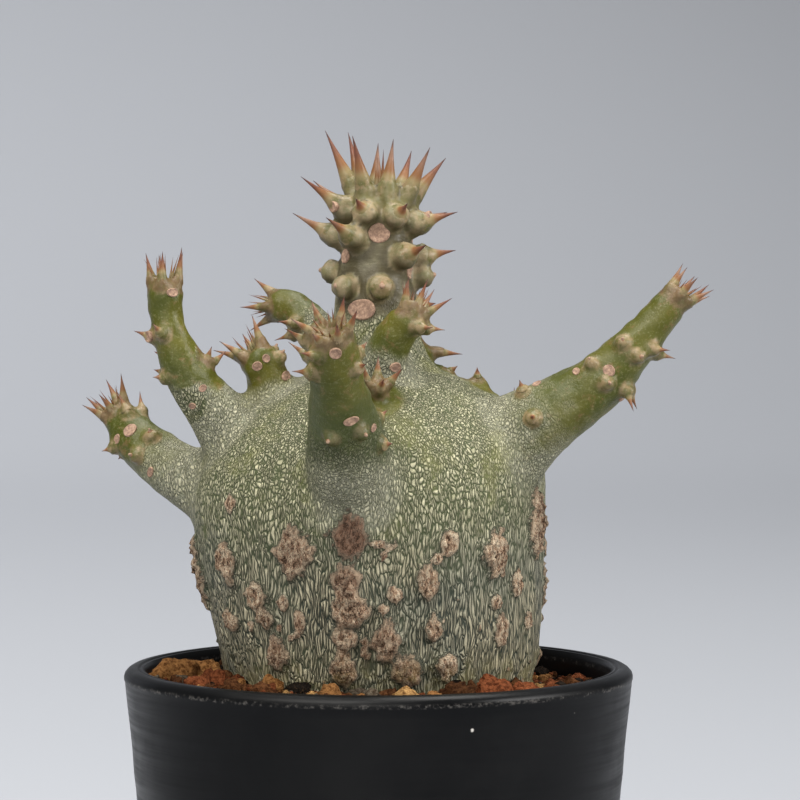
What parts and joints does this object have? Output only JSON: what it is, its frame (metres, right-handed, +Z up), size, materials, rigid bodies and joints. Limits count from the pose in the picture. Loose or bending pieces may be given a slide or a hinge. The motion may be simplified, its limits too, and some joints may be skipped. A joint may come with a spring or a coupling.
{
  "type": "potted succulent plant",
  "caption": "Round tapered nursery pot filled with gritty soil, holding a swollen barrel-shaped succulent trunk with short branches and paired spines.",
  "frame": {"origin": "centre of the pot's flat foot, on the surface that it stands on", "axes": "+Z up along the pot's axis, -Y the front that the picture shows, +X to the right in it, towards the longest branch"},
  "size_m": [0.1109, 0.0971, 0.1733],
  "materials": {
    "pot_plastic": "black, semi-gloss, with fine dust and rub marks",
    "soil_grit": "dry matt mineral grains, red-brown, tan, black and grey",
    "plant_bark": "grey-green bark with a raised pale net, green stems, tan cork and red-brown spines"
  },
  "bodies": {
    "root": {"pot": "pot_plastic", "soil": "soil_grit", "plant": "plant_bark"}
  },
  "joints": []
}
